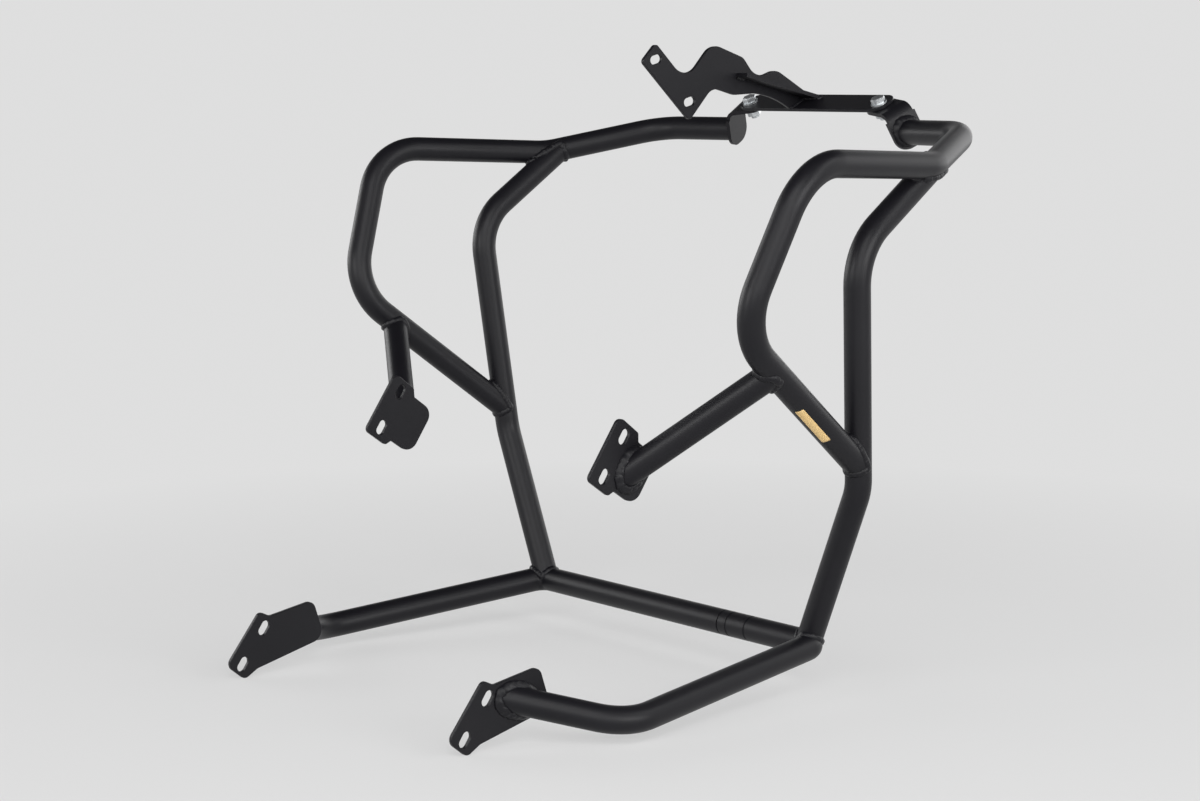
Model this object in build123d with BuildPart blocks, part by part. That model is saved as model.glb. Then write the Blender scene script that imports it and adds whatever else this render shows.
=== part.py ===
import os
from math import cos, radians, sin

from build123d import *

os.makedirs("parts", exist_ok=True)

# X to the vehicle's right, Y forward, Z up, origin in the middle of the front crossbar, millimetres
tube_dia = 25.4
tube_wall = 2.0
bend_radius = 60.0
corner_radius = 16.0

# tube corner points of the right side, in from the half width and, at the top, down from the bar
half_width = 325.5
bar_z = 515.5
hoop_front = (half_width - 101.3, 182.6, bar_z - 30.1)
hoop_shoulder = (half_width - 37.2, 68.1, bar_z - 56.8)
hoop_rear_top = (half_width, -130.4, bar_z - 49.5)
hoop_rear_low = (half_width - 27.0, -184.2, 318.8)
down_bend_top = (half_width - 40.7, -26.5, 384.6)
down_bend_low = (half_width - 57.6, -2.9, 158.4)
rail_rear = (half_width - 76.9, -268.4, -25.2)
rail_corner = (half_width - 115.9, 0.0, 0.0)

# places of the joints along the tubes they land on
down_top_share = 0.88
hoop_foot_share = 0.90
stub_share = 0.27
stub_drop = 1.0
rail_foot_share = 0.74

# side plates, outlines and slots around the seat of the tube
plate_thick = 4.0
plate_edge = 0.5
slot_width = 9.0
slot_length = 15.5
lower_plate_x = 182.2
lower_seat_y = -343.5
lower_seat_z = -3.8
lower_slot_angle = 55.0
lower_slots = ((-30.8, 6.2), (-55.6, -26.6))
lower_corners = (
    (-35.6, 23.1, 6.0),
    (-23.5, 17.3, 8.0),
    (27.0, 26.3, 9.0),
    (40.0, -13.1, 12.0),
    (-39.0, -33.4, 8.0),
    (-53.5, -42.2, 7.0),
    (-73.5, -26.0, 8.0),
)
mid_plate_x = 175.3
mid_seat_y = -204.4
mid_seat_z = 185.6
mid_slot_angle = 56.0
mid_slots = ((-8.4, 31.8), (-31.7, -2.3))
mid_corners = (
    (-13.6, 51.4, 7.0),
    (8.9, 33.9, 3.0),
    (8.9, 25.4, 2.0),
    (31.9, 8.4, 12.0),
    (3.9, -33.1, 13.0),
    (-20.1, -16.9, 3.0),
    (-27.4, -20.5, 4.0),
    (-51.3, -3.7, 5.5),
)
left_mid_rise = 7.0

# slip joint in the crossbar
joint_x = 83.3
joint_gap = 1.4
spigot_reach = 58.0
spigot_clearance = 0.1
crimp_offsets = (12.7, 39.2)
crimp_depth = 0.5
crimp_width = 1.6

# bridge bar and its tabs
bar_y = 199.4
bar_tilt = 26.9
bar_length = 210.6
bar_width = 33.2
bar_thick = 3.5
bar_corner = 13.0
bolt_inset = 9.8
bolt_back = 3.0
tab_thick = 4.0
tab_yaw = 13.7
tab_leaf_width = 31.0
tab_leaf_overhang = 17.0
tab_leaf_flat = 2.0
tab_fold_reach = 18.4
tab_fold_radius = 7.7
tab_fold_angle = 76.0
tab_foot_width = 35.2
tab_foot_length = 34.0
tab_foot_corner = 14.5
hoop_end_ahead = 9.0
hoop_end_drop = 30.3

# upright plate and gusset, outlines measured from the middle of the bar's top
upright_x = -23.4
upright_thick = 4.0
upright_slot_length = 15.0
upright_slot_angle = 15.0
upright_slots = ((-202.2, 42.8), (-156.9, 0.5))
upright_front_foot = (16.0, 5.0)
upright_rear_foot = (-11.6, -10.1)
upright_rear_radius = 115.0
upright_corners = (
    (-67.0, 8.5, 0.0),
    (-95.2, 7.0, 20.0),
    (-125.6, 14.7, 16.0),
    (-156.8, -19.0, 4.5),
    (-220.9, 40.6, 4.0),
    (-202.6, 59.3, 5.0),
    (-162.3, 21.4, 20.0),
    (-126.9, 59.6, 20.0),
    (-82.6, 45.4, 12.0),
    (-64.1, 24.2, 20.0),
    (-36.5, 33.8, 22.0),
    (4.2, 12.2, 0.0),
)
gusset_thick = 4.0
gusset_start = (-92.5, 27.6)
gusset_slope = -13.0
gusset_length = 105.0
gusset_rear_width = 16.0
gusset_front_width = 22.0

# fasteners
bolt_dia = 8.0
bolt_clearance = 0.4
thread_clearance = 0.0
hex_across = 13.0
hex_height = 5.4
hex_chamfer = 0.8
flange_dia = 17.0
flange_thick = 1.6
bolt_tail = 3.0

tube_radius = tube_dia / 2
bore_radius = tube_radius - tube_wall
cut_size = 4 * tube_dia
leaf_drop = bar_thick + tab_thick
bolt_x = bar_length / 2 - bolt_inset
bolt_places = ((bolt_x, -bolt_back), (-bolt_x, -bolt_back))
tab_leaf_round = (tab_leaf_width - tab_leaf_flat) / 2
hoop_end = (bolt_x + tab_fold_reach, bar_y + hoop_end_ahead, bar_z - hoop_end_drop)


def between(first, second, share):
    return tuple(a + (b - a) * share for a, b in zip(first, second))


def mirrored(point):
    return (-point[0], point[1], point[2])


def start_plane(path):
    return Plane(origin=path.line @ 0, z_dir=path.line % 0)


def plate_sketch(corners, slots, length, angle):
    with BuildSketch() as outline:
        with BuildLine():
            Polyline(*[(u, v) for u, v, _ in corners], close=True)
        make_face()
        for u, v, radius in corners:
            fillet(outline.vertices().sort_by_distance((u, v))[0], radius=radius)
        with Locations(*slots):
            SlotOverall(length, slot_width, rotation=angle, mode=Mode.SUBTRACT)
    return outline.sketch


# frames of the bracket: bar top, profile of the right tab, its fold and its outer face
tilt = radians(bar_tilt)
yaw = radians(tab_yaw)
fold = radians(tab_fold_angle)
side_dir = Vector(1, 0, 0)
width_dir = Vector(0, cos(tilt), sin(tilt))
rise_dir = Vector(0, -sin(tilt), cos(tilt))
bar_middle = Vector(0, bar_y, bar_z)
bar_top = Plane(origin=bar_middle, x_dir=side_dir, z_dir=rise_dir)
leaf_middle = bar_middle + side_dir * bolt_x
leaf_dir = side_dir * cos(yaw) - width_dir * sin(yaw)
leaf_width_dir = width_dir * cos(yaw) + side_dir * sin(yaw)
tab_profile = Plane(origin=leaf_middle, x_dir=leaf_dir, z_dir=-leaf_width_dir)
face_dir = leaf_dir * sin(fold) + rise_dir * cos(fold)
fold_centre = leaf_middle + leaf_dir * tab_fold_reach - rise_dir * (leaf_drop + tab_fold_radius)
tab_face = Plane(
    origin=fold_centre + face_dir * (tab_fold_radius + tab_thick),
    x_dir=leaf_width_dir,
    z_dir=face_dir,
)
upright_plane = Plane(origin=bar_middle + side_dir * upright_x, x_dir=(0, 1, 0), z_dir=side_dir)
slope = radians(gusset_slope)
gusset_origin = (
    upright_x + upright_thick / 2,
    bar_y + gusset_start[0],
    bar_z + gusset_start[1],
)
gusset_plane = Plane(origin=gusset_origin, x_dir=side_dir, z_dir=(0, -sin(slope), cos(slope)))

# seats of the tubes on the outer faces of the side plates
lower_seat = (lower_plate_x + plate_thick / 2, lower_seat_y, lower_seat_z)
mid_seat = (mid_plate_x + plate_thick / 2, mid_seat_y, mid_seat_z)
lower_face = Plane(origin=lower_seat, x_dir=(0, 1, 0), z_dir=side_dir)
mid_face = Plane(origin=mid_seat, x_dir=(0, 1, 0), z_dir=side_dir)

# points of the tubes that follow from the pieces they meet
rail_middle = between(rail_rear, rail_corner, 0.5)
rail_start = between(rail_rear, lower_seat, 1.25)
right_joint_end = (joint_x + joint_gap / 2, rail_corner[1], rail_corner[2])
left_joint_end = (joint_x - joint_gap / 2, rail_corner[1], rail_corner[2])
hoop_foot = between(down_bend_top, down_bend_low, hoop_foot_share)
stub_middle = between(hoop_rear_low, hoop_foot, stub_share)
stub_top = (stub_middle[0] + stub_drop, stub_middle[1], stub_middle[2] - stub_drop)
stub_end = between(stub_top, mid_seat, 1.15)
down_top = between(hoop_front, hoop_shoulder, down_top_share)
shoulder_start = between(hoop_front, hoop_shoulder, 0.5)
shoulder_end = between(hoop_shoulder, hoop_rear_top, 0.5)

with BuildLine() as shoulder_line:
    FilletPolyline(shoulder_start, hoop_shoulder, shoulder_end, radius=bend_radius)

with BuildLine() as hoop_line:
    FilletPolyline(hoop_end, hoop_front, shoulder_start, radius=bend_radius)
    add(shoulder_line.line)
    FilletPolyline(shoulder_end, hoop_rear_top, hoop_rear_low, hoop_foot, radius=bend_radius)

with BuildLine() as corner_line:
    FilletPolyline(rail_middle, rail_corner, right_joint_end, radius=corner_radius)

with BuildLine() as right_rail_line:
    FilletPolyline(rail_start, rail_rear, rail_middle, radius=bend_radius)
    add(corner_line.line)

with BuildLine() as left_rail_line:
    FilletPolyline(
        mirrored(rail_start), mirrored(rail_rear), mirrored(rail_middle), radius=bend_radius
    )
    FilletPolyline(
        mirrored(rail_middle), mirrored(rail_corner), left_joint_end, radius=corner_radius
    )

rail_foot = corner_line.edges().filter_by(GeomType.CIRCLE)[0] @ rail_foot_share

with BuildLine() as down_line:
    FilletPolyline(down_top, down_bend_top, down_bend_low, rail_foot, radius=bend_radius)

with BuildLine() as stub_line:
    Line(stub_top, stub_end)

# solid rods of the tubes' outer size, cutters for the saddle joints
with BuildPart() as shoulder_rod:
    with BuildSketch(start_plane(shoulder_line)):
        Circle(tube_radius)
    sweep(path=shoulder_line.wires()[0])

with BuildPart() as hoop_rod:
    with BuildSketch(start_plane(hoop_line)):
        Circle(tube_radius)
    sweep(path=hoop_line.wires()[0])

with BuildPart() as down_rod:
    with BuildSketch(start_plane(down_line)):
        Circle(tube_radius)
    sweep(path=down_line.wires()[0])

with BuildPart() as corner_rod:
    with BuildSketch(start_plane(corner_line)):
        Circle(tube_radius)
    sweep(path=corner_line.wires()[0])

# blocks behind the faces that tubes and plates stand on, cutters for flush ends
with BuildPart() as tab_block:
    with Locations(tab_face):
        Box(cut_size, cut_size, cut_size, align=(Align.CENTER, Align.CENTER, Align.MAX))

with BuildPart() as lower_block:
    with Locations(lower_face):
        Box(cut_size, cut_size, cut_size, align=(Align.CENTER, Align.CENTER, Align.MAX))

with BuildPart() as mid_block:
    with Locations(mid_face):
        Box(cut_size, cut_size, cut_size, align=(Align.CENTER, Align.CENTER, Align.MAX))

with BuildPart() as bar_block:
    with Locations(bar_top):
        Box(bar_length, 2 * bar_width, bar_width, align=(Align.CENTER, Align.CENTER, Align.MAX))

with BuildPart() as right_hoop_tube:
    with BuildSketch(start_plane(hoop_line)):
        Circle(tube_radius)
        Circle(bore_radius, mode=Mode.SUBTRACT)
    sweep(path=hoop_line.wires()[0])
    add(tab_block.part, mode=Mode.SUBTRACT)
    add(down_rod.part, mode=Mode.SUBTRACT)
right_hoop_tube.part.label = "right_hoop_tube"
export_step(right_hoop_tube.part, "parts/right_hoop_tube.step")

with BuildPart() as left_hoop_tube:
    mirror(right_hoop_tube.part, about=Plane.YZ)
left_hoop_tube.part.label = "left_hoop_tube"
export_step(left_hoop_tube.part, "parts/left_hoop_tube.step")

with BuildPart() as right_down_tube:
    with BuildSketch(start_plane(down_line)):
        Circle(tube_radius)
        Circle(bore_radius, mode=Mode.SUBTRACT)
    sweep(path=down_line.wires()[0])
    add(shoulder_rod.part, mode=Mode.SUBTRACT)
    add(corner_rod.part, mode=Mode.SUBTRACT)
right_down_tube.part.label = "right_down_tube"
export_step(right_down_tube.part, "parts/right_down_tube.step")

with BuildPart() as left_down_tube:
    mirror(right_down_tube.part, about=Plane.YZ)
left_down_tube.part.label = "left_down_tube"
export_step(left_down_tube.part, "parts/left_down_tube.step")

with BuildPart() as right_mid_stub:
    with BuildSketch(start_plane(stub_line)):
        Circle(tube_radius)
        Circle(bore_radius, mode=Mode.SUBTRACT)
    sweep(path=stub_line.wires()[0])
    add(hoop_rod.part, mode=Mode.SUBTRACT)
    add(mid_block.part, mode=Mode.SUBTRACT)
right_mid_stub.part.label = "right_mid_stub"
export_step(right_mid_stub.part, "parts/right_mid_stub.step")

with BuildPart() as left_mid_stub:
    mirror(right_mid_stub.part, about=Plane.YZ)
left_mid_stub.part.label = "left_mid_stub"
export_step(left_mid_stub.part, "parts/left_mid_stub.step")

with BuildPart() as right_lower_rail:
    with BuildSketch(start_plane(right_rail_line)):
        Circle(tube_radius)
        Circle(bore_radius, mode=Mode.SUBTRACT)
    sweep(path=right_rail_line.wires()[0])
    add(lower_block.part, mode=Mode.SUBTRACT)
    for offset_x in crimp_offsets:
        crimp_middle = (joint_x + offset_x, rail_corner[1], rail_corner[2])
        with BuildSketch(Plane(origin=crimp_middle, z_dir=side_dir)):
            Circle(tube_dia)
            Circle(tube_radius - crimp_depth, mode=Mode.SUBTRACT)
        extrude(amount=crimp_width / 2, both=True, mode=Mode.SUBTRACT)
right_lower_rail.part.label = "right_lower_rail"
export_step(right_lower_rail.part, "parts/right_lower_rail.step")

with BuildPart() as left_lower_rail:
    with BuildSketch(start_plane(left_rail_line)):
        Circle(tube_radius)
        Circle(bore_radius, mode=Mode.SUBTRACT)
    sweep(path=left_rail_line.wires()[0])
    add(mirror(lower_block.part, about=Plane.YZ, mode=Mode.PRIVATE), mode=Mode.SUBTRACT)
left_lower_rail.part.label = "left_lower_rail"
export_step(left_lower_rail.part, "parts/left_lower_rail.step")

with BuildPart() as joint_spigot:
    with BuildSketch(Plane(origin=right_joint_end, z_dir=side_dir)):
        Circle(bore_radius - spigot_clearance)
    extrude(amount=-(joint_gap + spigot_reach))
    with BuildSketch(Plane(origin=right_joint_end, z_dir=side_dir)):
        Circle(bore_radius)
    extrude(amount=spigot_reach)
joint_spigot.part.label = "joint_spigot"
export_step(joint_spigot.part, "parts/joint_spigot.step")

lower_outline = plate_sketch(lower_corners, lower_slots, slot_length, lower_slot_angle)
mid_outline = plate_sketch(mid_corners, mid_slots, slot_length, mid_slot_angle)

with BuildPart() as right_lower_plate:
    with BuildSketch(lower_face):
        add(lower_outline)
    extrude(amount=-plate_thick)
    chamfer(right_lower_plate.faces().filter_by(Axis.X).edges(), length=plate_edge)
right_lower_plate.part.label = "right_lower_plate"
export_step(right_lower_plate.part, "parts/right_lower_plate.step")

with BuildPart() as left_lower_plate:
    mirror(right_lower_plate.part, about=Plane.YZ)
left_lower_plate.part.label = "left_lower_plate"
export_step(left_lower_plate.part, "parts/left_lower_plate.step")

with BuildPart() as right_mid_plate:
    with BuildSketch(mid_face):
        add(mid_outline)
    extrude(amount=-plate_thick)
    chamfer(right_mid_plate.faces().filter_by(Axis.X).edges(), length=plate_edge)
right_mid_plate.part.label = "right_mid_plate"
export_step(right_mid_plate.part, "parts/right_mid_plate.step")

with BuildPart() as left_mid_plate:
    mirror(right_mid_plate.part.moved(Location((0, 0, left_mid_rise))), about=Plane.YZ)
left_mid_plate.part.label = "left_mid_plate"
export_step(left_mid_plate.part, "parts/left_mid_plate.step")

with BuildPart() as bridge_bar:
    with BuildSketch(bar_top):
        RectangleRounded(bar_length, bar_width, bar_corner)
        with Locations(*bolt_places):
            Circle(bolt_dia / 2 + bolt_clearance, mode=Mode.SUBTRACT)
    extrude(amount=-bar_thick)
    chamfer(bridge_bar.faces().filter_by(bar_top).edges(), length=plate_edge)
bridge_bar.part.label = "bridge_bar"
export_step(bridge_bar.part, "parts/bridge_bar.step")

with BuildPart() as right_top_tab:
    with BuildSketch(tab_profile):
        with BuildLine():
            leaf_upper = Line((-tab_leaf_overhang, -bar_thick), (tab_fold_reach, -bar_thick))
            leaf_lower = Line((-tab_leaf_overhang, -leaf_drop), (tab_fold_reach, -leaf_drop))
            fold_outer = JernArc(
                leaf_upper @ 1, leaf_upper % 1, tab_fold_radius + tab_thick, -tab_fold_angle
            )
            fold_inner = JernArc(leaf_lower @ 1, leaf_lower % 1, tab_fold_radius, -tab_fold_angle)
            Line(leaf_upper @ 0, leaf_lower @ 0)
            Line(fold_outer @ 1, fold_inner @ 1)
        make_face()
    extrude(amount=tab_leaf_width / 2, both=True)
    leaf_ends = right_top_tab.edges().filter_by(Axis(bar_middle, rise_dir))
    fillet(leaf_ends, radius=tab_leaf_round)
    with BuildSketch(tab_face) as tab_foot:
        Rectangle(tab_foot_width, tab_foot_length, align=(Align.CENTER, Align.MAX))
        fillet(tab_foot.vertices().group_by(Axis.Y)[0], radius=tab_foot_corner)
    extrude(amount=-tab_thick)
    with BuildSketch(bar_top):
        with Locations(bolt_places[0]):
            Circle(bolt_dia / 2 + bolt_clearance)
    extrude(amount=-2 * leaf_drop, mode=Mode.SUBTRACT)
right_top_tab.part.label = "right_top_tab"
export_step(right_top_tab.part, "parts/right_top_tab.step")

with BuildPart() as left_top_tab:
    mirror(right_top_tab.part, about=Plane.YZ)
left_top_tab.part.label = "left_top_tab"
export_step(left_top_tab.part, "parts/left_top_tab.step")

with BuildPart() as upright_plate:
    with BuildSketch(upright_plane) as upright_outline:
        with BuildLine():
            Polyline(
                *[(u, v) for u, v, _ in upright_corners], upright_front_foot, upright_rear_foot
            )
            RadiusArc(upright_rear_foot, upright_corners[0][:2], -upright_rear_radius)
        make_face()
        for u, v, radius in upright_corners:
            if radius > 0:
                fillet(upright_outline.vertices().sort_by_distance((u, v))[0], radius=radius)
        with Locations(*upright_slots):
            SlotOverall(
                upright_slot_length, slot_width, rotation=upright_slot_angle, mode=Mode.SUBTRACT
            )
    extrude(amount=upright_thick / 2, both=True)
    chamfer(upright_plate.faces().filter_by(Axis.X).edges(), length=plate_edge)
    add(bar_block.part, mode=Mode.SUBTRACT)
upright_plate.part.label = "upright_plate"
export_step(upright_plate.part, "parts/upright_plate.step")

with BuildPart() as bridge_gusset:
    with BuildSketch(gusset_plane):
        with BuildLine():
            Polyline(
                (0, 0),
                (gusset_rear_width, 0),
                (gusset_front_width, gusset_length),
                (0, gusset_length),
                close=True,
            )
        make_face()
    extrude(amount=gusset_thick / 2, both=True)
    add(bar_block.part, mode=Mode.SUBTRACT)
bridge_gusset.part.label = "bridge_gusset"
export_step(bridge_gusset.part, "parts/bridge_gusset.step")

with BuildPart() as bridge_bolts:
    with BuildSketch(bar_top.offset(flange_thick)):
        with Locations(*bolt_places):
            RegularPolygon(hex_across / 2, 6, major_radius=False)
    extrude(amount=hex_height)
    hex_tops = bridge_bolts.faces().filter_by(bar_top).sort_by(Axis(bar_middle, rise_dir))[-2:]
    chamfer(hex_tops.edges(), length=hex_chamfer)
    with BuildSketch(bar_top):
        with Locations(*bolt_places):
            Circle(flange_dia / 2)
    extrude(amount=flange_thick)
    with BuildSketch(bar_top):
        with Locations(*bolt_places):
            Circle(bolt_dia / 2)
    extrude(amount=-(leaf_drop + flange_thick + hex_height + bolt_tail))
bridge_bolts.part.label = "bridge_bolts"
export_step(bridge_bolts.part, "parts/bridge_bolts.step")

with BuildPart() as bridge_nuts:
    with BuildSketch(bar_top.offset(-leaf_drop)):
        with Locations(*bolt_places):
            Circle(flange_dia / 2)
            Circle(bolt_dia / 2 + thread_clearance, mode=Mode.SUBTRACT)
    extrude(amount=-flange_thick)
    with BuildSketch(bar_top.offset(-leaf_drop - flange_thick)):
        with Locations(*bolt_places):
            RegularPolygon(hex_across / 2, 6, major_radius=False)
            Circle(bolt_dia / 2 + thread_clearance, mode=Mode.SUBTRACT)
    extrude(amount=-hex_height)
bridge_nuts.part.label = "bridge_nuts"
export_step(bridge_nuts.part, "parts/bridge_nuts.step")
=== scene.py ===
import math
from operator import attrgetter

import bmesh
import bpy
import numpy as np
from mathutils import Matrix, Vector
from mathutils.bvhtree import BVHTree


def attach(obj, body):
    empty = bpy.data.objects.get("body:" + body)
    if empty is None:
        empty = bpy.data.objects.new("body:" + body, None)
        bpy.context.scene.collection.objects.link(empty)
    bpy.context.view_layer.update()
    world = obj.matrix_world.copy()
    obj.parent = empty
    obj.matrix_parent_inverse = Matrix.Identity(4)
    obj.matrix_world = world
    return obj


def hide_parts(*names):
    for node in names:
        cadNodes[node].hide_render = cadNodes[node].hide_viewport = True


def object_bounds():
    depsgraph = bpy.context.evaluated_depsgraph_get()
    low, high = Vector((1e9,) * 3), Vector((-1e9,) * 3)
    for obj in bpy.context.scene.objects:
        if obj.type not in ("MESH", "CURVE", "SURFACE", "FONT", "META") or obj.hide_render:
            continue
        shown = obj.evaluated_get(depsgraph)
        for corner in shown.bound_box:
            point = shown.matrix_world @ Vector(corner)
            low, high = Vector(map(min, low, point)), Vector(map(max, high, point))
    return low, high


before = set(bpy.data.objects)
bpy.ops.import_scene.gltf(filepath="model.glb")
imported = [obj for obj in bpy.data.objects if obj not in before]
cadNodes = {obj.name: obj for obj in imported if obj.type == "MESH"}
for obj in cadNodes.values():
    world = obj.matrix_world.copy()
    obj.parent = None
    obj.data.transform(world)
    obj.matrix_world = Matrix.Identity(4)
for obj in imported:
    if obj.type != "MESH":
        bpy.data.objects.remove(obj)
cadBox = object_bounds()
scene = bpy.context.scene
scene.view_settings.view_transform = "Standard"
print("frame loaded:", len(cadNodes), "nodes")

noiseDetail = {"broad": 3.0, "plain": 2.0, "fine": 1.0}
noiseMiddle = 0.5  # value that a noise swings about


class Wire:
    # a socket that takes part in plain arithmetic
    def __init__(self, maker, socket):
        self.maker = maker
        self.socket = socket

    def __add__(self, other):
        return self.maker.maths("ADD", self, other)

    def __sub__(self, other):
        return self.maker.maths("SUBTRACT", self, other)

    def __rsub__(self, other):
        return self.maker.maths("SUBTRACT", other, self)

    def __mul__(self, other):
        return self.maker.maths("MULTIPLY", self, other)

    def __truediv__(self, other):
        return self.maker.maths("DIVIDE", self, other)

    __radd__ = __add__
    __rmul__ = __mul__


class NodeMaker:
    # adds nodes to one tree: settings first, then the values or links of the sockets
    def __init__(self, tree):
        self.tree = tree

    def node(self, kind, settings=None, inputs=None, out=0):
        made = self.tree.nodes.new(kind)
        for key, value in (settings or {}).items():
            if key == "stops":
                for stop, (place, level) in zip(made.color_ramp.elements, value):
                    stop.position = place
                    stop.color = (level, level, level, 1)
            else:
                setattr(made, key, value)
        for key, value in (inputs or {}).items():
            if isinstance(value, Wire):
                self.tree.links.new(value.socket, made.inputs[key])
            else:
                made.inputs[key].default_value = value
        return Wire(self, made.outputs[out]) if made.outputs else None

    def maths(self, operation, first, second=0.0):
        return self.node("ShaderNodeMath", {"operation": operation}, {0: first, 1: second})

    def blend(self, factor, first, second):
        return self.node(
            "ShaderNodeMix", {"data_type": "RGBA"}, {0: factor, 6: first, 7: second}, out=2
        )

    def place(self):
        return self.node("ShaderNodeTexCoord", out="Object")

    def noise(self, place, scale, detail="plain"):
        return self.node(
            "ShaderNodeTexNoise",
            None,
            {"Vector": place, "Scale": scale, "Detail": noiseDetail[detail]},
        )

    # two noises added by the finish's shares
    def mixed(self, first, second, finish):
        firstShare, secondShare = finish["tintShares"]
        return first * firstShare + second * secondShare

    # the same, spread between the finish's two stops
    def tint(self, first, second, finish):
        stops = list(zip(finish["tintStops"], (0.0, 1.0)))
        mixed = self.mixed(first, second, finish)
        return self.node("ShaderNodeValToRGB", {"stops": stops}, {"Fac": mixed})

    def bump(self, height, strength, distance, below=None):
        inputs = {"Height": height, "Strength": strength, "Distance": distance}
        if below is not None:
            inputs["Normal"] = below
        return self.node("ShaderNodeBump", None, inputs)


def newMaterial(name):
    material = bpy.data.materials.new(name)
    material.use_nodes = True
    material.node_tree.nodes.clear()
    return material, NodeMaker(material.node_tree)


def closeMaterial(maker, shaderInputs):
    surface = maker.node("ShaderNodeBsdfPrincipled", None, shaderInputs)
    maker.node("ShaderNodeOutputMaterial", None, {"Surface": surface})


def newObject(name, data):
    made = bpy.data.objects.new(name, data)
    scene.collection.objects.link(made)
    return made


powderCoat = {
    "dark": (0.0042, 0.0040, 0.0057, 1),
    "light": (0.0073, 0.0070, 0.0090, 1),
    "patchScale": 9.0,  # per metre, broad drift of the coat
    "peelScale": 620.0,  # orange peel
    "grainScale": 2600.0,  # fine powder grain
    "tintShares": (0.7, 0.3),  # of drift and grain
    "tintStops": (0.30, 0.70),
    "roughness": 0.42,
    "patchSwing": 0.10,  # of the roughness
    "grainSwing": 0.12,
    "specular": 0.25,
    "peel": 0.10,  # bump on tubes and plates
    "weldPeel": 0.28,
    "peelDepth": 0.00025,
    "grain": 0.16,
    "grainDepth": 0.00008,
}


def makePowderCoat(name, peelStrength):
    coat = powderCoat
    material, maker = newMaterial(name)
    place = maker.place()
    patch = maker.noise(place, coat["patchScale"], "broad")
    peel = maker.noise(place, coat["peelScale"], "fine")
    grain = maker.noise(place, coat["grainScale"], "fine")
    roughness = coat["roughness"] + (patch - noiseMiddle) * coat["patchSwing"]
    roughness = roughness + (grain - noiseMiddle) * coat["grainSwing"]
    broad = maker.bump(peel, peelStrength, coat["peelDepth"])
    closeMaterial(
        maker,
        {
            "Base Color": maker.blend(maker.tint(patch, grain, coat), coat["dark"], coat["light"]),
            "Roughness": roughness,
            "Normal": maker.bump(grain, coat["grain"], coat["grainDepth"], broad),
            "Specular IOR Level": coat["specular"],
        },
    )
    return material


zincPlate = {
    "dark": (0.40, 0.42, 0.44, 1),
    "light": (0.72, 0.74, 0.75, 1),
    "cloudScale": 260.0,
    "scratchScale": 2100.0,
    "tintShares": (0.6, 0.4),  # of clouds and scratches
    "tintStops": (0.32, 0.66),
    "roughness": 0.30,
    "scratchSwing": 0.22,  # of the roughness
    "scratch": 0.2,
    "scratchDepth": 0.00005,
}


def makeZinc(name):
    zinc = zincPlate
    material, maker = newMaterial(name)
    place = maker.place()
    cloud = maker.noise(place, zinc["cloudScale"], "broad")
    scratch = maker.noise(place, zinc["scratchScale"])
    closeMaterial(
        maker,
        {
            "Base Color": maker.blend(maker.tint(cloud, scratch, zinc), zinc["dark"], zinc["light"]),
            "Metallic": 1.0,
            "Roughness": zinc["roughness"] + scratch * zinc["scratchSwing"],
            "Normal": maker.bump(scratch, zinc["scratch"], zinc["scratchDepth"]),
        },
    )
    return material


turnedSteel = {
    "dark": (0.20, 0.20, 0.21, 1),
    "light": (0.42, 0.42, 0.43, 1),
    "stretch": (2600.0, 60.0, 60.0),  # fine turning lines round the axis along X
    "roughness": 0.34,
    "lineSwing": 0.2,  # of the roughness
    "line": 0.3,
    "lineDepth": 0.00005,
}


def makeTurnedSteel(name):
    steel = turnedSteel
    material, maker = newMaterial(name)
    place = maker.place()
    stretched = maker.node("ShaderNodeMapping", None, {"Vector": place, "Scale": steel["stretch"]})
    lines = maker.noise(stretched, 1.0)
    closeMaterial(
        maker,
        {
            "Base Color": maker.blend(lines, steel["dark"], steel["light"]),
            "Metallic": 1.0,
            "Roughness": steel["roughness"] + lines * steel["lineSwing"],
            "Normal": maker.bump(lines, steel["line"], steel["lineDepth"]),
        },
    )
    return material


coatMaterial = makePowderCoat("satinBlackCoat", powderCoat["peel"])
weldMaterial = makePowderCoat("coatedWeld", powderCoat["weldPeel"])
zincMaterial = makeZinc("brightZinc")
steelMaterial = makeTurnedSteel("turnedSteel")
nodeFinish = {"bridge_bolts": zincMaterial, "bridge_nuts": zincMaterial, "joint_spigot": steelMaterial}
for nodeName, nodeObject in cadNodes.items():
    nodeObject.data.materials.clear()
    nodeObject.data.materials.append(nodeFinish.get(nodeName, coatMaterial))
print("finishes assigned")

tubeSkin = {
    "tubes": ("hoop_tube", "down_tube", "lower_rail", "mid_stub"),
    "merge": 1e-6,
    "sharpFrom": 35.0,  # degrees between two faces that keep a hard edge
}


# merged copy of a tube, so that its shading runs on where two faces of the solid join
def smoothTube(nodeName):
    first, *rest = nodeName.split("_")
    name = first + "".join(word.capitalize() for word in rest)
    work = bmesh.new()
    work.from_mesh(cadNodes[nodeName].data)
    bmesh.ops.remove_doubles(work, verts=work.verts, dist=tubeSkin["merge"])
    work.verts.index_update()
    points = [vertex.co[:] for vertex in work.verts]
    faces = [[vertex.index for vertex in face.verts] for face in work.faces]
    work.free()
    mesh = bpy.data.meshes.new(name)
    mesh.from_pydata(points, [], faces)
    mesh.shade_smooth()
    mesh.set_sharp_from_angle(angle=math.radians(tubeSkin["sharpFrom"]))
    mesh.materials.append(coatMaterial)
    piece = newObject(name, mesh)
    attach(piece, "root")
    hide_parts(nodeName)


for side in ("right", "left"):
    for tube in tubeSkin["tubes"]:
        smoothTube(f"{side}_{tube}")
print("tubes smoothed")


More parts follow.
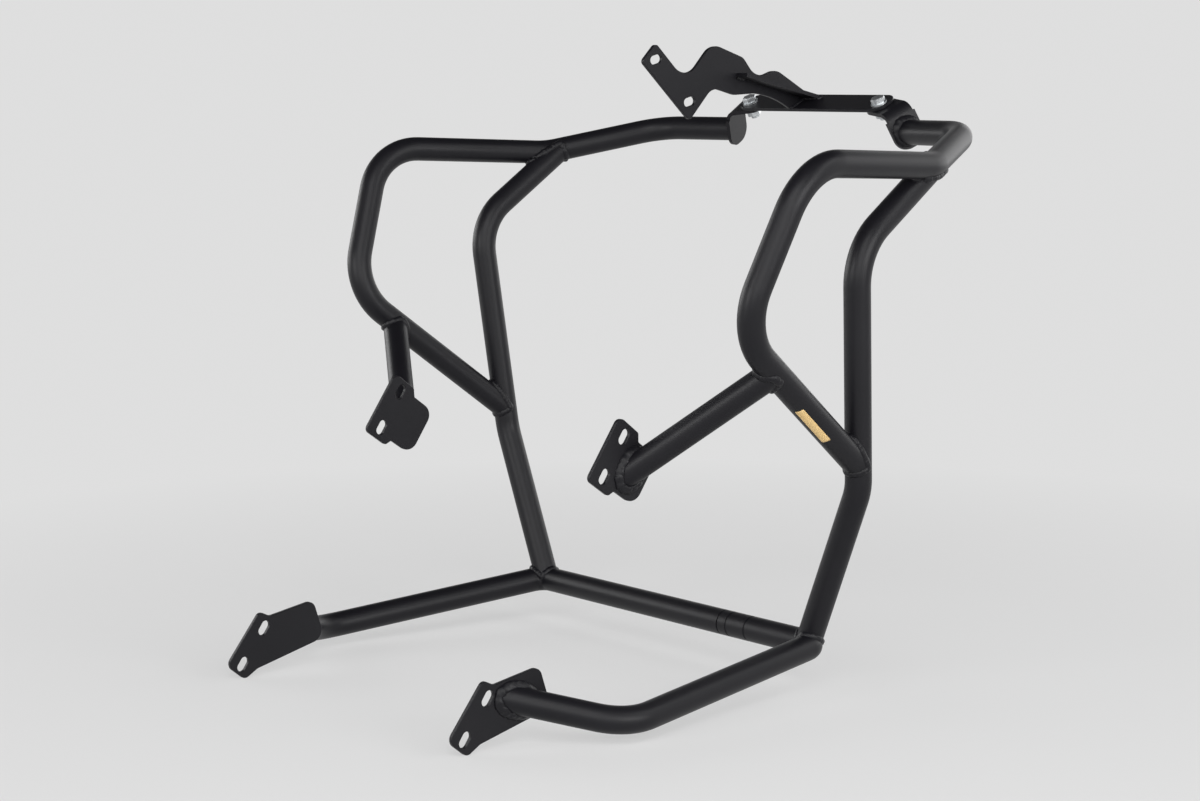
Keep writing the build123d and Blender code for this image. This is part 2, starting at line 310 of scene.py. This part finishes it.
def plainTree(name, inputs):
    tree = bpy.data.node_groups.new(name, "GeometryNodeTree")
    tree.interface.new_socket("Geometry", in_out="INPUT", socket_type="NodeSocketGeometry")
    sockets = {}
    for label, kind in inputs.items():
        sockets[label] = tree.interface.new_socket(label, in_out="INPUT", socket_type=kind).identifier
    tree.interface.new_socket("Geometry", in_out="OUTPUT", socket_type="NodeSocketGeometry")
    maker = NodeMaker(tree)
    start = tree.nodes.new("NodeGroupInput")
    wires = {label: Wire(maker, start.outputs[label]) for label in ["Geometry", *inputs]}
    return tree, maker, wires, sockets


# sets the tree's inputs, turns the result into a plain mesh and takes the modifier off
def runTree(piece, tree, sockets, values):
    modifier = piece.modifiers.new(tree.name, "NODES")
    modifier.node_group = tree
    for label, value in values.items():
        modifier[sockets[label]] = value
    graph = bpy.context.evaluated_depsgraph_get()
    made = bpy.data.meshes.new_from_object(piece.evaluated_get(graph))
    piece.modifiers.clear()
    piece.data = made


beadShape = {
    "stepsPerPuddle": 6,
    "puddleMiddle": 0.6,  # level of a puddle's arch that counts as the plain size
    "wobbleScale": 140.0,  # per metre of seam
    "wobbleShare": 3.0,  # of the swell
    "lumpScale": 230.0,  # per metre
    "tip": 0.02,  # keeps a bead's end from closing to a point
    "corners": 16,  # of the section
    "openRoom": 1.0,  # metres, more than any bead takes
}


# line through the points of each loop, with the bead's room and the way it faces at each point
def polylinePiece(name, loops, room=None, facing=None):
    points = [point for loop, closed in loops for point in loop]
    edges = []
    first = 0
    for loop, closed in loops:
        edges += [(first + i, first + i + 1) for i in range(len(loop) - 1)]
        if closed:
            edges.append((first + len(loop) - 1, first))
        first += len(loop)
    mesh = bpy.data.meshes.new(name)
    mesh.from_pydata(points, edges, [])
    limits = mesh.attributes.new("room", "FLOAT", "POINT")
    limits.data.foreach_set("value", room or [beadShape["openRoom"]] * len(points))
    if facing:
        arrows = mesh.attributes.new("facing", "FLOAT_VECTOR", "POINT")
        arrows.data.foreach_set("vector", [number for way in facing for number in way])
    return newObject(name, mesh)


# weld bead: a tube along the seam that swells once for each puddle, and can be flat towards its facing
def makeBeadTree():
    tree, maker, wires, sockets = plainTree(
        "weldBead",
        {
            "Bead": "NodeSocketFloat",
            "Flat": "NodeSocketFloat",
            "Pitch": "NodeSocketFloat",
            "Swell": "NodeSocketFloat",
            "Wander": "NodeSocketFloat",
            "Ends": "NodeSocketFloat",
            "Finish": "NodeSocketMaterial",
        },
    )
    shape, fine = beadShape, noiseDetail["fine"]

    def attribute(name, kind, out=0):
        return maker.node("GeometryNodeInputNamedAttribute", {"data_type": kind}, {"Name": name}, out)

    curve = maker.node("GeometryNodeMeshToCurve", None, {"Mesh": wires["Geometry"]})
    curve = maker.node(
        "GeometryNodeResampleCurve",
        {"mode": "LENGTH"},
        {"Curve": curve, "Length": wires["Pitch"] / shape["stepsPerPuddle"]},
    )
    along = maker.node("GeometryNodeSplineParameter", out="Length")
    puddle = maker.maths("FRACT", along / wires["Pitch"])
    wobble = maker.node(
        "ShaderNodeTexNoise",
        {"noise_dimensions": "1D"},
        {"W": along, "Scale": shape["wobbleScale"], "Detail": fine},
    )
    arch = puddle * (1 - puddle) * 4  # from 0 up to 1 and back
    lumpy = arch - shape["puddleMiddle"] + (wobble - noiseMiddle) * shape["wobbleShare"]
    whole = maker.node("GeometryNodeSplineLength")
    toEnd = maker.maths("MINIMUM", along, whole - along) / wires["Bead"]
    toEnd = maker.maths("MINIMUM", toEnd + shape["tip"], 1.0)
    rounded = maker.maths("SQRT", toEnd * (2 - toEnd))
    size = wires["Bead"] * (1 + lumpy * wires["Swell"]) * (1 - wires["Ends"] * (1 - rounded))
    size = maker.maths("MINIMUM", size, attribute("room", "FLOAT"))
    curve = maker.node(
        "GeometryNodeSetCurveNormal",
        {"mode": "FREE"},
        {
            "Curve": curve,
            "Selection": attribute("facing", "FLOAT_VECTOR", "Exists"),
            "Normal": attribute("facing", "FLOAT_VECTOR"),
        },
    )
    ring = maker.node(
        "GeometryNodeCurvePrimitiveCircle",
        {"mode": "RADIUS"},
        {"Resolution": shape["corners"], "Radius": 1.0},
    )
    squeeze = maker.node("ShaderNodeCombineXYZ", None, {"X": wires["Flat"], "Y": 1.0, "Z": 1.0})
    ring = maker.node("GeometryNodeTransform", None, {"Geometry": ring, "Scale": squeeze})
    mesh = maker.node(
        "GeometryNodeCurveToMesh",
        None,
        {"Curve": curve, "Profile Curve": ring, "Scale": size, "Fill Caps": True},
    )
    lumps = maker.node(
        "ShaderNodeTexNoise", None, {"Scale": shape["lumpScale"], "Detail": fine}, out="Color"
    )
    centred = maker.node(
        "ShaderNodeVectorMath", {"operation": "SUBTRACT"}, {0: lumps, 1: (noiseMiddle,) * 3}
    )
    drift = maker.node(
        "ShaderNodeVectorMath", {"operation": "SCALE"}, {0: centred, "Scale": wires["Wander"]}
    )
    mesh = maker.node("GeometryNodeSetPosition", None, {"Geometry": mesh, "Offset": drift})
    mesh = maker.node("GeometryNodeSetShadeSmooth", None, {"Geometry": mesh})
    mesh = maker.node("GeometryNodeRealizeInstances", None, {"Geometry": mesh})
    mesh = maker.node("GeometryNodeSetMaterial", None, {"Geometry": mesh, "Material": wires["Finish"]})
    maker.node("NodeGroupOutput", None, {"Geometry": mesh})
    return tree, sockets


weldBead = {
    "reach": 0.0006,  # how near a vertex lies to the piece it is welded to
    "span": 0.07,  # height of one seam at most
    "runEdge": 0.02,  # triangles with a longer edge lie on a straight run
    "compassTurns": 36,  # directions in which a cut end is measured
    "rimShare": 0.93,  # of the radius, from where a point counts as the outer rim
    "samples": 96,  # points of a seam
    "evenRim": 2,  # samples to each side that even out the rim
    "evenMoves": 5,  # and the bead's place on it
    "tubeSeams": [
        ("hoop_tube", "down_tube", "low"),
        ("down_tube", "hoop_tube", "high"),
        ("down_tube", "lower_rail", "low"),
        ("mid_stub", "hoop_tube", "high"),
    ],
    "tubeSink": (0.0026, 0.0012, -0.0022),  # depth of the bead in flat, square and sharp corners
    "tubeValues": {
        "Bead": 0.0042, "Flat": 1.0, "Pitch": 0.0040, "Swell": 0.05, "Wander": 0.0014, "Ends": 0.0
    },
    "plateSeams": [
        ("mid_stub", "mid_plate", "low"),
        ("lower_rail", "lower_plate", "low"),
        ("hoop_tube", "top_tab", "high"),
    ],
    "plateSink": (-0.0016, -0.0026, -0.0060),
    "plateValues": {
        "Bead": 0.0044, "Flat": 0.42, "Pitch": 0.0062, "Swell": 0.12, "Wander": 0.0022, "Ends": 0.0
    },
    "edgeFacing": 0.5,  # faces of a plate that look less than this along its normal are its edge
    "edgeMargin": 0.0025,  # left free between bead and edge
    "leastBead": 0.0012,
    "sameLine": 1e-5,  # points this close lie on one line
    "gussetReturn": 0.012,  # length that the bead runs on round the gusset's rear end
    "gussetTip": 0.002,  # depth of the gusset's outer tip
    "bracketValues": {
        "Bead": 0.0021, "Flat": 1.0, "Pitch": 0.0022, "Swell": 0.16, "Wander": 0.0010, "Ends": 1.0
    },
}


def surfaceOf(nodeName):
    mesh = cadNodes[nodeName].data
    return BVHTree.FromPolygons(
        [vertex.co for vertex in mesh.vertices], [polygon.vertices for polygon in mesh.polygons]
    )


# vertices of one node that lie on another
def nearVertices(nodeName, onName):
    surface = surfaceOf(onName)
    reach = weldBead["reach"]
    vertices = cadNodes[nodeName].data.vertices
    return [vertex for vertex in vertices if surface.find_nearest(vertex.co, reach)[0] is not None]


# each value of a closed loop, evened with its neighbours
def evened(values, reach):
    return sum(np.roll(values, step, axis=0) for step in range(-reach, reach + 1)) / (2 * reach + 1)


# way along the straight run beside a seam: the one that none of the run's faces looks in
def runAxis(mesh, found):
    normals = []
    for polygon in mesh.polygons:
        corners = [mesh.vertices[index].co for index in polygon.vertices]
        landed = [index in found for index in polygon.vertices]
        longest = max((corners[i] - corners[i - 1]).length for i in range(3))
        if any(landed) and not all(landed) and longest > weldBead["runEdge"]:
            normals.append(polygon.normal[:])
    return np.linalg.svd(np.array(normals))[2][2]


# centre of a round end, from the middles of its width in many directions
def endCentre(flat):
    turns = np.linspace(0, math.pi, weldBead["compassTurns"], endpoint=False)
    compass = np.stack([np.cos(turns), np.sin(turns)], 1)
    spread = flat @ compass.T
    middles = (spread.max(0) + spread.min(0)) / 2
    return np.linalg.lstsq(compass, middles, rcond=None)[0]


# rim of a tube's cut end where it lands on another piece, in order round the tube
def tubeSeam(nodeName, onName, end):
    mesh = cadNodes[nodeName].data
    near = nearVertices(nodeName, onName)
    level = {"low": min, "high": max}[end](vertex.co.z for vertex in near)
    found = {vertex.index for vertex in near if abs(vertex.co.z - level) < weldBead["span"]}
    axis = runAxis(mesh, found)
    side = np.linalg.svd(axis.reshape(1, 3))[2][1:]
    points = np.array([mesh.vertices[index].co[:] for index in found])
    flat = points @ side.T
    centre = endCentre(flat)
    away = flat - centre
    radius = np.linalg.norm(away, axis=1)
    rim = radius > weldBead["rimShare"] * radius.max()
    angle = np.arctan2(away[rim, 1], away[rim, 0])
    height = points[rim] @ axis
    order = np.argsort(angle)
    angle, height = angle[order], height[order]
    wrapped = np.concatenate([angle - 2 * math.pi, angle, angle + 2 * math.pi])
    wanted = np.linspace(-math.pi, math.pi, weldBead["samples"], endpoint=False)
    heights = np.interp(wanted, wrapped, np.concatenate([height] * 3))
    outward = np.stack([np.cos(wanted), np.sin(wanted)], 1)
    rimPoints = (outward * radius.max() + centre) @ side
    seam = rimPoints + np.outer(evened(heights, weldBead["evenRim"]), axis)
    return [Vector(point) for point in seam], [Vector(way) for way in outward @ side]


# how far the bead may spread at each point of a seam before it runs over the plate's edge
def edgeRoom(seam, nodeName):
    mesh = cadNodes[nodeName].data
    flat = max(mesh.polygons, key=attrgetter("area")).normal
    most = weldBead["edgeFacing"]
    sides = [polygon.vertices for polygon in mesh.polygons if abs(polygon.normal.dot(flat)) < most]
    edges = BVHTree.FromPolygons([vertex.co for vertex in mesh.vertices], sides)
    margin, least = weldBead["edgeMargin"], weldBead["leastBead"]
    room = [max(least, edges.find_nearest(point)[3] - margin) for point in seam]
    print(nodeName, "least room for the bead", round(min(room) * 1000, 2), "mm")
    return room


# middle of the bead, moved in or out of the corner between the two pieces by how sharp it is,
# and the way that the corner opens
def sunkSeam(seam, outward, surface, sink, shares):
    flat, square, sharp = sink
    openings, moves = [], []
    for point, way, share in zip(seam, outward, shares):
        facing = surface.find_nearest(point)[1]
        flatness = way.dot(facing)  # 1 where both surfaces run on in one plane
        away = flat - square if flatness > 0 else square - sharp
        openings.append((way + facing).normalized())
        moves.append(openings[-1] * -(square + away * flatness) * share)
    reach = weldBead["evenMoves"]
    moves = evened(evened(np.array(moves), reach), reach)
    openings = evened(np.array(openings), reach)
    middles = [point + Vector(move) for point, move in zip(seam, moves)]
    return middles, [Vector(way).normalized() for way in openings]


def nearPoints(nodeName, onName):
    return [vertex.co for vertex in nearVertices(nodeName, onName)]


# seams of the bracket: both sides of the upright plate on the bar, the gusset's two ends
def bracketSeams():
    byX, byY, byZ = attrgetter("x"), attrgetter("y"), attrgetter("z")
    same = weldBead["sameLine"]
    seams = []
    foot = nearPoints("upright_plate", "bridge_bar")
    for side in (min, max):
        face = side(point.x for point in foot)
        line = sorted((point for point in foot if abs(point.x - face) < same), key=byY)
        seams.append([line[0], line[-1]])
    edge = sorted(nearPoints("bridge_gusset", "upright_plate"), key=byY)
    low, high = sorted(edge[:2], key=byZ)
    onward = (edge[-1] - low).normalized() * weldBead["gussetReturn"]
    seams.append([low + onward, low, high, high + onward])
    base = nearPoints("bridge_gusset", "bridge_bar")
    outer = max(point.x for point in base) - weldBead["gussetTip"]
    back = min(point.y for point in base) + same
    rear = [point for point in base if point.y < back]
    tip = max((point for point in base if point.x > outer), key=byY)
    seams.append([min(rear, key=byX), max(rear, key=byX), tip])
    return [([tuple(point) for point in seam], False) for seam in seams]


beadTree, beadSockets = makeBeadTree()


def weldPiece(name, loops, values, room=None, facing=None):
    piece = polylinePiece(name, loops, room, facing)
    runTree(piece, beadTree, beadSockets, {**values, "Finish": weldMaterial})
    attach(piece, "root")
    print(name, len(loops), "seams,", len(piece.data.polygons), "faces")


for landing in ("tube", "plate"):
    values, sink = weldBead[landing + "Values"], weldBead[landing + "Sink"]
    seamLoops, seamRoom, seamFacing = [], [], []
    for side in ("right", "left"):
        for tube, onto, end in weldBead[landing + "Seams"]:
            tubeName, ontoName = f"{side}_{tube}", f"{side}_{onto}"
            seam, outward = tubeSeam(tubeName, ontoName, end)
            room = [beadShape["openRoom"]] * len(seam)
            if landing == "plate":
                room = edgeRoom(seam, ontoName)
            shares = [min(1.0, spare / values["Bead"]) for spare in room]
            seam, facing = sunkSeam(seam, outward, surfaceOf(ontoName), sink, shares)
            seamLoops.append((seam, True))
            seamRoom += room
            seamFacing += facing
    weldPiece(landing + "Welds", seamLoops, values, seamRoom, seamFacing)
weldPiece("bracketWelds", bracketSeams(), weldBead["bracketValues"])

boltThread = {
    "pitch": 0.00125,
    "turns": 2.0,
    "stepsPerTurn": 40,
    "clear": 0.0004,  # left free at the tail's end
    "sameLevel": 1e-5,  # points this close to the end lie on its rim
    "upFacing": 0.5,  # faces of the bar that look up more than this
    "values": {
        "Bead": 0.00042, "Flat": 1.0, "Pitch": 0.0012, "Swell": 0.0, "Wander": 0.0, "Ends": 1.0
    },
}


# helix round the tail of one bolt, on its shank's surface
def threadPath(sign, rise):
    bolt = [vertex.co for vertex in cadNodes["bridge_bolts"].data.vertices if vertex.co.x * sign > 0]
    end = min(point.dot(rise) for point in bolt)
    rim = [point for point in bolt if point.dot(rise) < end + boltThread["sameLevel"]]
    centre = sum(rim, Vector()) / len(rim)
    out = (rim[0] - centre).normalized()
    radius = max((point - centre).length for point in rim)
    across = rise.cross(out)
    path = []
    for step in range(int(boltThread["turns"] * boltThread["stepsPerTurn"]) + 1):
        turn = step / boltThread["stepsPerTurn"]
        angle = 2 * math.pi * turn
        spoke = out * math.cos(angle) + across * math.sin(angle)
        climb = boltThread["clear"] + boltThread["pitch"] * turn
        path.append(tuple(centre + spoke * radius + rise * climb))
    return path, False


def makeThreads():
    barFaces = cadNodes["bridge_bar"].data.polygons
    upper = [face for face in barFaces if face.normal.z > boltThread["upFacing"]]
    rise = max(upper, key=attrgetter("area")).normal.copy()
    threads = polylinePiece("boltThreads", [threadPath(1, rise), threadPath(-1, rise)])
    runTree(threads, beadTree, beadSockets, {**boltThread["values"], "Finish": zincMaterial})
    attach(threads, "root")
    print("bolt threads:", len(threads.data.polygons), "faces")


makeThreads()

plainLabel = {
    "runStart": (0.2985, -0.1842, 0.3188),  # axis of the hoop's lower run
    "runEnd": (0.26959, -0.00526, 0.18102),
    "tubeRadius": 0.0127,
    "from": 0.110,  # along the run
    "to": 0.163,
    "turnFrom": -135.0,  # round the tube, degrees from its outer side
    "turnTo": -95.0,
    "thick": 0.00014,
    "columns": 40,
    "rows": 18,
    "cornerCut": 0.0005,
    "gold": (0.71, 0.46, 0.17, 1),
    "pale": (0.80, 0.60, 0.30, 1),
    "cloudScale": 120.0,
    "grainScale": 3200.0,
    "tintShares": (0.6, 0.4),  # of clouds and grain
    "metallic": 0.3,
    "roughness": 0.34,
    "grainSwing": 0.16,  # of the roughness
    "grain": 0.15,
    "grainDepth": 0.00004,
}


def makeFoil(name):
    foil = plainLabel
    material, maker = newMaterial(name)
    place = maker.place()
    cloud = maker.noise(place, foil["cloudScale"], "broad")
    grain = maker.noise(place, foil["grainScale"], "fine")
    closeMaterial(
        maker,
        {
            "Base Color": maker.blend(maker.mixed(cloud, grain, foil), foil["gold"], foil["pale"]),
            "Metallic": foil["metallic"],
            "Roughness": foil["roughness"] + grain * foil["grainSwing"],
            "Normal": maker.bump(grain, foil["grain"], foil["grainDepth"]),
        },
    )
    return material


# thin label wrapped on the tube, with small round corners
def makeLabel():
    label = plainLabel
    start = Vector(label["runStart"])
    way = (Vector(label["runEnd"]) - start).normalized()
    outer = -way.cross(Vector((0, 0, 1))).normalized()
    upper = way.cross(outer)
    radius = label["tubeRadius"] + label["thick"] / 2
    turnFrom, turnTo = math.radians(label["turnFrom"]), math.radians(label["turnTo"])
    middle, half = (turnFrom + turnTo) / 2, (turnTo - turnFrom) / 2
    cut = label["cornerCut"]
    points = []
    faces = []
    for i in range(label["columns"] + 1):
        along = label["from"] + (label["to"] - label["from"]) * i / label["columns"]
        inset = max(0.0, cut - min(along - label["from"], label["to"] - along))
        narrow = (cut - math.sqrt(cut * cut - inset * inset)) / radius
        for j in range(label["rows"] + 1):
            turn = middle + (half - narrow) * (2 * j / label["rows"] - 1)
            spoke = outer * math.cos(turn) + upper * math.sin(turn)
            points.append(start + way * along + spoke * radius)
    for i in range(label["columns"]):
        for j in range(label["rows"]):
            corner = i * (label["rows"] + 1) + j
            faces.append((corner, corner + label["rows"] + 1, corner + label["rows"] + 2, corner + 1))
    mesh = bpy.data.meshes.new("plainLabel")
    mesh.from_pydata([tuple(point) for point in points], [], faces)
    mesh.materials.append(makeFoil("goldFoil"))
    mesh.shade_smooth()
    piece = newObject("plainLabel", mesh)
    thicken = piece.modifiers.new("thick", "SOLIDIFY")
    thicken.thickness = label["thick"]
    thicken.offset = 0.0
    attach(piece, "root")
    print("label made")


makeLabel()

paleTone = (0.735, 0.735, 0.735, 1)  # of wall and floor, as the camera sees them
paleFloor = {
    "size": 30.0,
    "gap": 0.0005,
    "lit": (0.73, 0.73, 0.73, 1),
    "roughness": 0.9,
    "specular": 0.1,
    "glow": 0.62,  # share of the paleness near the object that no shadow reaches
    "glowFrom": 0.5,  # metres from the middle, from where that share grows
    "glowTo": 1.3,
    "seenBy": ("Is Camera Ray", "Is Glossy Ray", "Is Transmission Ray"),
}


def makeFloor():
    settings = paleFloor
    low = cadBox[0].z - settings["gap"]
    half = settings["size"] / 2
    mesh = bpy.data.meshes.new("floor")
    corners = [(-half, -half, low), (half, -half, low), (half, half, low), (-half, half, low)]
    mesh.from_pydata(corners, [], [(0, 1, 2, 3)])
    floor = newObject("floor", mesh)
    material, maker = newMaterial("paleFloor")
    place = maker.place()
    away = maker.node("ShaderNodeVectorMath", {"operation": "LENGTH"}, {0: place}, out="Value")
    far = maker.node(
        "ShaderNodeMapRange",
        None,
        {"Value": away, "From Min": settings["glowFrom"], "From Max": settings["glowTo"]},
    )
    seen = sum(maker.node("ShaderNodeLightPath", out=ray) for ray in settings["seenBy"])
    seen = maker.maths("MINIMUM", seen, 1.0)
    glowing = settings["glow"] + far * (1 - settings["glow"])
    lit = maker.node(
        "ShaderNodeBsdfPrincipled",
        None,
        {
            "Base Color": settings["lit"],
            "Roughness": settings["roughness"],
            "Specular IOR Level": settings["specular"],
        },
    )
    glow = maker.node("ShaderNodeEmission", None, {"Color": paleTone, "Strength": 1.0})
    mixed = maker.node("ShaderNodeMixShader", None, {0: glowing * seen, 1: lit, 2: glow})
    maker.node("ShaderNodeOutputMaterial", None, {"Surface": mixed})
    floor.data.materials.append(material)


studioWall = {
    "ceiling": (0.05, 0.05, 0.052, 1),
    "ceilingFrom": 0.26,  # height of the pale wall, as the sine of the angle
    "ceilingTo": 0.52,
}


# pale wall all round, under a dimmer ceiling
def makeWorld():
    world = bpy.data.worlds.new("paleStudio")
    world.use_nodes = True
    world.node_tree.nodes.clear()
    maker = NodeMaker(world.node_tree)
    heading = maker.node("ShaderNodeTexCoord", out="Generated")
    height = maker.node("ShaderNodeSeparateXYZ", None, {0: heading}, out="Z")
    rise = maker.node(
        "ShaderNodeMapRange",
        {"interpolation_type": "SMOOTHSTEP"},
        {
            "Value": height,
            "From Min": studioWall["ceilingFrom"],
            "From Max": studioWall["ceilingTo"],
        },
    )
    tone = maker.blend(rise, paleTone, studioWall["ceiling"])
    sky = maker.node("ShaderNodeBackground", None, {"Color": tone, "Strength": 1.0})
    maker.node("ShaderNodeOutputWorld", None, {"Surface": sky})
    scene.world = world


softBoxes = {
    "aim": (0.0, 0.0, 0.25),
    "distance": 2.8,
    "lamps": [
        # name, azimuth from +X, elevation, width, height, watts
        ("rightBox", 4, 12, 1.5, 1.1, 33.0),
        ("cameraBox", 318, 12, 2.0, 1.0, 20.0),
        ("rearBox", 270, 12, 1.0, 1.0, 21.0),
        ("leftBox", 204, 12, 2.2, 1.0, 25.0),
        ("frontBox", 92, 16, 3.0, 1.6, 22.0),
        ("cameraUpperBox", 314, 38, 2.0, 1.0, 27.0),
        ("frontUpperBox", 36, 38, 1.6, 1.0, 14.0),
    ],
}


def makeLamps():
    for name, azimuth, elevation, width, height, watts in softBoxes["lamps"]:
        turn, tilt = math.radians(azimuth), math.radians(elevation)
        out = Vector((math.cos(tilt) * math.cos(turn), math.cos(tilt) * math.sin(turn), math.sin(tilt)))
        light = bpy.data.lights.new(name, "AREA")
        light.shape = "RECTANGLE"
        light.size, light.size_y, light.energy = width, height, watts
        lamp = newObject(name, light)
        lamp.location = Vector(softBoxes["aim"]) + out * softBoxes["distance"]
        lamp.rotation_euler = (-out).to_track_quat("-Z", "Y").to_euler()
        lamp.visible_camera = False


photoCamera = {
    "place": (1.85824, -1.63886, 0.53599),
    "azimuth": 50.2618,
    "elevation": 7.3761,
    "lens": 73.84,
    "sensorWidth": 36.0,
}


def makeCamera():
    turn = math.radians(photoCamera["azimuth"])
    rise = math.radians(photoCamera["elevation"])
    back = Vector((math.sin(turn) * math.cos(rise), -math.cos(turn) * math.cos(rise), math.sin(rise)))
    lens = bpy.data.cameras.new("photoCamera")
    lens.sensor_width = photoCamera["sensorWidth"]
    lens.lens = photoCamera["lens"]
    camera = newObject("photoCamera", lens)
    camera.location = photoCamera["place"]
    camera.rotation_euler = (-back).to_track_quat("-Z", "Y").to_euler()
    scene.camera = camera


makeFloor()
makeWorld()
makeLamps()
makeCamera()
print("stage and camera set")
